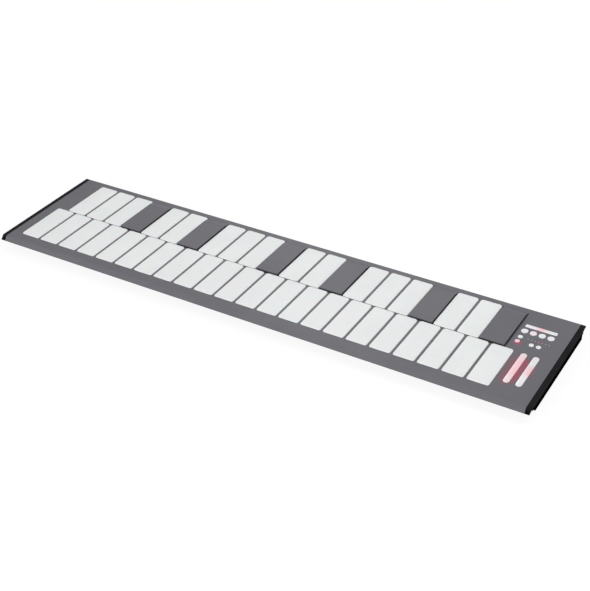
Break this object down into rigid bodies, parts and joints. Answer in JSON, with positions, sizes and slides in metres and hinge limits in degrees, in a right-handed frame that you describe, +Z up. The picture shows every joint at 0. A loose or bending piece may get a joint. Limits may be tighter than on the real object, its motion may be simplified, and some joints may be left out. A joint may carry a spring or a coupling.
{
  "type": "mallet controller",
  "caption": "Table-top mallet controller with two rows of sprung silicone bars in a grey sheet deck, black end caps, and a lit control panel at the right end.",
  "frame": {"origin": "under the middle of the whole object, on the surface that its foot strips stand on", "axes": "+X to the player's right, towards the control panel; +Y away from the player, towards the rear sockets; +Z up"},
  "size_m": [1.042, 0.257, 0.0291],
  "materials": {
    "white_silicone": "matt off-white silicone",
    "grey_deck_paint": "fine matt grey powder coat on aluminium sheet",
    "black_frame_plastic": "matt moulded",
    "black_cap_plastic": "fine texture",
    "black_tray_paint": "matt black paint on sheet",
    "green_sensor_board": "solder mask",
    "green_control_board": "solder mask",
    "green_main_board": "solder mask",
    "white_button_rubber": "matt silicone",
    "lit_touch_plastic": "frosted, lit from below",
    "clear_light_guide": "clear moulded",
    "black_foot_rubber": "matt",
    "black_socket_plastic": "moulded"
  },
  "bodies": {
    "chassis": {"top_deck": "grey_deck_paint", "bar_frame": "black_frame_plastic", "bottom_tray": "black_tray_paint", "left_end_cap": "black_cap_plastic", "right_end_cap": "black_cap_plastic", "sensor_board": "green_sensor_board", "control_board": "green_control_board", "main_board": "green_main_board", "rear_socket_block": "black_socket_plastic", "left_touch_fader": "lit_touch_plastic", "right_touch_fader": "lit_touch_plastic", "touch_strip": "lit_touch_plastic", "indicator_light_guide": "clear_light_guide", "front_foot_strip": "black_foot_rubber", "rear_foot_strip": "black_foot_rubber"},
    "natural_bar_01": {"natural_bar_01": "white_silicone"},
    "natural_bar_02": {"natural_bar_02": "white_silicone"},
    "natural_bar_03": {"natural_bar_03": "white_silicone"},
    "natural_bar_04": {"natural_bar_04": "white_silicone"},
    "natural_bar_05": {"natural_bar_05": "white_silicone"},
    "natural_bar_06": {"natural_bar_06": "white_silicone"},
    "natural_bar_07": {"natural_bar_07": "white_silicone"},
    "natural_bar_08": {"natural_bar_08": "white_silicone"},
    "natural_bar_09": {"natural_bar_09": "white_silicone"},
    "natural_bar_10": {"natural_bar_10": "white_silicone"},
    "natural_bar_11": {"natural_bar_11": "white_silicone"},
    "natural_bar_12": {"natural_bar_12": "white_silicone"},
    "natural_bar_13": {"natural_bar_13": "white_silicone"},
    "natural_bar_14": {"natural_bar_14": "white_silicone"},
    "natural_bar_15": {"natural_bar_15": "white_silicone"},
    "natural_bar_16": {"natural_bar_16": "white_silicone"},
    "natural_bar_17": {"natural_bar_17": "white_silicone"},
    "natural_bar_18": {"natural_bar_18": "white_silicone"},
    "natural_bar_19": {"natural_bar_19": "white_silicone"},
    "natural_bar_20": {"natural_bar_20": "white_silicone"},
    "natural_bar_21": {"natural_bar_21": "white_silicone"},
    "natural_bar_22": {"natural_bar_22": "white_silicone"},
    "sharp_bar_01": {"sharp_bar_01": "white_silicone"},
    "sharp_bar_02": {"sharp_bar_02": "white_silicone"},
    "sharp_bar_03": {"sharp_bar_03": "white_silicone"},
    "sharp_bar_04": {"sharp_bar_04": "white_silicone"},
    "sharp_bar_05": {"sharp_bar_05": "white_silicone"},
    "sharp_bar_06": {"sharp_bar_06": "white_silicone"},
    "sharp_bar_07": {"sharp_bar_07": "white_silicone"},
    "sharp_bar_08": {"sharp_bar_08": "white_silicone"},
    "sharp_bar_09": {"sharp_bar_09": "white_silicone"},
    "sharp_bar_10": {"sharp_bar_10": "white_silicone"},
    "sharp_bar_11": {"sharp_bar_11": "white_silicone"},
    "sharp_bar_12": {"sharp_bar_12": "white_silicone"},
    "sharp_bar_13": {"sharp_bar_13": "white_silicone"},
    "sharp_bar_14": {"sharp_bar_14": "white_silicone"},
    "sharp_bar_15": {"sharp_bar_15": "white_silicone"},
    "preset_button_1": {"preset_button_1": "white_button_rubber"},
    "preset_button_2": {"preset_button_2": "white_button_rubber"},
    "preset_button_3": {"preset_button_3": "white_button_rubber"},
    "preset_button_4": {"preset_button_4": "white_button_rubber"},
    "mode_button_upper": {"mode_button_upper": "white_button_rubber"},
    "mode_button_lower": {"mode_button_lower": "white_button_rubber"},
    "octave_button_down": {"octave_button_down": "white_button_rubber"},
    "octave_button_up": {"octave_button_up": "white_button_rubber"}
  },
  "joints": [
    {"name": "natural_bar_01_press", "type": "slide", "parent": "chassis", "child": "natural_bar_01", "axis": [0, 0, -1], "range_m": [0, 0.001], "stiffness_N_per_m": 3000, "springref_m": -0.0005},
    {"name": "natural_bar_02_press", "type": "slide", "parent": "chassis", "child": "natural_bar_02", "axis": [0, 0, -1], "range_m": [0, 0.001], "stiffness_N_per_m": 3000, "springref_m": -0.0005},
    {"name": "natural_bar_03_press", "type": "slide", "parent": "chassis", "child": "natural_bar_03", "axis": [0, 0, -1], "range_m": [0, 0.001], "stiffness_N_per_m": 3000, "springref_m": -0.0005},
    {"name": "natural_bar_04_press", "type": "slide", "parent": "chassis", "child": "natural_bar_04", "axis": [0, 0, -1], "range_m": [0, 0.001], "stiffness_N_per_m": 3000, "springref_m": -0.0005},
    {"name": "natural_bar_05_press", "type": "slide", "parent": "chassis", "child": "natural_bar_05", "axis": [0, 0, -1], "range_m": [0, 0.001], "stiffness_N_per_m": 3000, "springref_m": -0.0005},
    {"name": "natural_bar_06_press", "type": "slide", "parent": "chassis", "child": "natural_bar_06", "axis": [0, 0, -1], "range_m": [0, 0.001], "stiffness_N_per_m": 3000, "springref_m": -0.0005},
    {"name": "natural_bar_07_press", "type": "slide", "parent": "chassis", "child": "natural_bar_07", "axis": [0, 0, -1], "range_m": [0, 0.001], "stiffness_N_per_m": 3000, "springref_m": -0.0005},
    {"name": "natural_bar_08_press", "type": "slide", "parent": "chassis", "child": "natural_bar_08", "axis": [0, 0, -1], "range_m": [0, 0.001], "stiffness_N_per_m": 3000, "springref_m": -0.0005},
    {"name": "natural_bar_09_press", "type": "slide", "parent": "chassis", "child": "natural_bar_09", "axis": [0, 0, -1], "range_m": [0, 0.001], "stiffness_N_per_m": 3000, "springref_m": -0.0005},
    {"name": "natural_bar_10_press", "type": "slide", "parent": "chassis", "child": "natural_bar_10", "axis": [0, 0, -1], "range_m": [0, 0.001], "stiffness_N_per_m": 3000, "springref_m": -0.0005},
    {"name": "natural_bar_11_press", "type": "slide", "parent": "chassis", "child": "natural_bar_11", "axis": [0, 0, -1], "range_m": [0, 0.001], "stiffness_N_per_m": 3000, "springref_m": -0.0005},
    {"name": "natural_bar_12_press", "type": "slide", "parent": "chassis", "child": "natural_bar_12", "axis": [0, 0, -1], "range_m": [0, 0.001], "stiffness_N_per_m": 3000, "springref_m": -0.0005},
    {"name": "natural_bar_13_press", "type": "slide", "parent": "chassis", "child": "natural_bar_13", "axis": [0, 0, -1], "range_m": [0, 0.001], "stiffness_N_per_m": 3000, "springref_m": -0.0005},
    {"name": "natural_bar_14_press", "type": "slide", "parent": "chassis", "child": "natural_bar_14", "axis": [0, 0, -1], "range_m": [0, 0.001], "stiffness_N_per_m": 3000, "springref_m": -0.0005},
    {"name": "natural_bar_15_press", "type": "slide", "parent": "chassis", "child": "natural_bar_15", "axis": [0, 0, -1], "range_m": [0, 0.001], "stiffness_N_per_m": 3000, "springref_m": -0.0005},
    {"name": "natural_bar_16_press", "type": "slide", "parent": "chassis", "child": "natural_bar_16", "axis": [0, 0, -1], "range_m": [0, 0.001], "stiffness_N_per_m": 3000, "springref_m": -0.0005},
    {"name": "natural_bar_17_press", "type": "slide", "parent": "chassis", "child": "natural_bar_17", "axis": [0, 0, -1], "range_m": [0, 0.001], "stiffness_N_per_m": 3000, "springref_m": -0.0005},
    {"name": "natural_bar_18_press", "type": "slide", "parent": "chassis", "child": "natural_bar_18", "axis": [0, 0, -1], "range_m": [0, 0.001], "stiffness_N_per_m": 3000, "springref_m": -0.0005},
    {"name": "natural_bar_19_press", "type": "slide", "parent": "chassis", "child": "natural_bar_19", "axis": [0, 0, -1], "range_m": [0, 0.001], "stiffness_N_per_m": 3000, "springref_m": -0.0005},
    {"name": "natural_bar_20_press", "type": "slide", "parent": "chassis", "child": "natural_bar_20", "axis": [0, 0, -1], "range_m": [0, 0.001], "stiffness_N_per_m": 3000, "springref_m": -0.0005},
    {"name": "natural_bar_21_press", "type": "slide", "parent": "chassis", "child": "natural_bar_21", "axis": [0, 0, -1], "range_m": [0, 0.001], "stiffness_N_per_m": 3000, "springref_m": -0.0005},
    {"name": "natural_bar_22_press", "type": "slide", "parent": "chassis", "child": "natural_bar_22", "axis": [0, 0, -1], "range_m": [0, 0.001], "stiffness_N_per_m": 3000, "springref_m": -0.0005},
    {"name": "sharp_bar_01_press", "type": "slide", "parent": "chassis", "child": "sharp_bar_01", "axis": [0, 0, -1], "range_m": [0, 0.001], "stiffness_N_per_m": 3000, "springref_m": -0.0005},
    {"name": "sharp_bar_02_press", "type": "slide", "parent": "chassis", "child": "sharp_bar_02", "axis": [0, 0, -1], "range_m": [0, 0.001], "stiffness_N_per_m": 3000, "springref_m": -0.0005},
    {"name": "sharp_bar_03_press", "type": "slide", "parent": "chassis", "child": "sharp_bar_03", "axis": [0, 0, -1], "range_m": [0, 0.001], "stiffness_N_per_m": 3000, "springref_m": -0.0005},
    {"name": "sharp_bar_04_press", "type": "slide", "parent": "chassis", "child": "sharp_bar_04", "axis": [0, 0, -1], "range_m": [0, 0.001], "stiffness_N_per_m": 3000, "springref_m": -0.0005},
    {"name": "sharp_bar_05_press", "type": "slide", "parent": "chassis", "child": "sharp_bar_05", "axis": [0, 0, -1], "range_m": [0, 0.001], "stiffness_N_per_m": 3000, "springref_m": -0.0005},
    {"name": "sharp_bar_06_press", "type": "slide", "parent": "chassis", "child": "sharp_bar_06", "axis": [0, 0, -1], "range_m": [0, 0.001], "stiffness_N_per_m": 3000, "springref_m": -0.0005},
    {"name": "sharp_bar_07_press", "type": "slide", "parent": "chassis", "child": "sharp_bar_07", "axis": [0, 0, -1], "range_m": [0, 0.001], "stiffness_N_per_m": 3000, "springref_m": -0.0005},
    {"name": "sharp_bar_08_press", "type": "slide", "parent": "chassis", "child": "sharp_bar_08", "axis": [0, 0, -1], "range_m": [0, 0.001], "stiffness_N_per_m": 3000, "springref_m": -0.0005},
    {"name": "sharp_bar_09_press", "type": "slide", "parent": "chassis", "child": "sharp_bar_09", "axis": [0, 0, -1], "range_m": [0, 0.001], "stiffness_N_per_m": 3000, "springref_m": -0.0005},
    {"name": "sharp_bar_10_press", "type": "slide", "parent": "chassis", "child": "sharp_bar_10", "axis": [0, 0, -1], "range_m": [0, 0.001], "stiffness_N_per_m": 3000, "springref_m": -0.0005},
    {"name": "sharp_bar_11_press", "type": "slide", "parent": "chassis", "child": "sharp_bar_11", "axis": [0, 0, -1], "range_m": [0, 0.001], "stiffness_N_per_m": 3000, "springref_m": -0.0005},
    {"name": "sharp_bar_12_press", "type": "slide", "parent": "chassis", "child": "sharp_bar_12", "axis": [0, 0, -1], "range_m": [0, 0.001], "stiffness_N_per_m": 3000, "springref_m": -0.0005},
    {"name": "sharp_bar_13_press", "type": "slide", "parent": "chassis", "child": "sharp_bar_13", "axis": [0, 0, -1], "range_m": [0, 0.001], "stiffness_N_per_m": 3000, "springref_m": -0.0005},
    {"name": "sharp_bar_14_press", "type": "slide", "parent": "chassis", "child": "sharp_bar_14", "axis": [0, 0, -1], "range_m": [0, 0.001], "stiffness_N_per_m": 3000, "springref_m": -0.0005},
    {"name": "sharp_bar_15_press", "type": "slide", "parent": "chassis", "child": "sharp_bar_15", "axis": [0, 0, -1], "range_m": [0, 0.001], "stiffness_N_per_m": 3000, "springref_m": -0.0005},
    {"name": "preset_button_1_press", "type": "slide", "parent": "chassis", "child": "preset_button_1", "axis": [0, 0, -1], "range_m": [0, 0.001], "stiffness_N_per_m": 800, "springref_m": -0.0003},
    {"name": "preset_button_2_press", "type": "slide", "parent": "chassis", "child": "preset_button_2", "axis": [0, 0, -1], "range_m": [0, 0.001], "stiffness_N_per_m": 800, "springref_m": -0.0003},
    {"name": "preset_button_3_press", "type": "slide", "parent": "chassis", "child": "preset_button_3", "axis": [0, 0, -1], "range_m": [0, 0.001], "stiffness_N_per_m": 800, "springref_m": -0.0003},
    {"name": "preset_button_4_press", "type": "slide", "parent": "chassis", "child": "preset_button_4", "axis": [0, 0, -1], "range_m": [0, 0.001], "stiffness_N_per_m": 800, "springref_m": -0.0003},
    {"name": "mode_button_upper_press", "type": "slide", "parent": "chassis", "child": "mode_button_upper", "axis": [0, 0, -1], "range_m": [0, 0.001], "stiffness_N_per_m": 800, "springref_m": -0.0003},
    {"name": "mode_button_lower_press", "type": "slide", "parent": "chassis", "child": "mode_button_lower", "axis": [0, 0, -1], "range_m": [0, 0.001], "stiffness_N_per_m": 800, "springref_m": -0.0003},
    {"name": "octave_button_down_press", "type": "slide", "parent": "chassis", "child": "octave_button_down", "axis": [0, 0, -1], "range_m": [0, 0.001], "stiffness_N_per_m": 800, "springref_m": -0.0003},
    {"name": "octave_button_up_press", "type": "slide", "parent": "chassis", "child": "octave_button_up", "axis": [0, 0, -1], "range_m": [0, 0.001], "stiffness_N_per_m": 800, "springref_m": -0.0003}
  ]
}
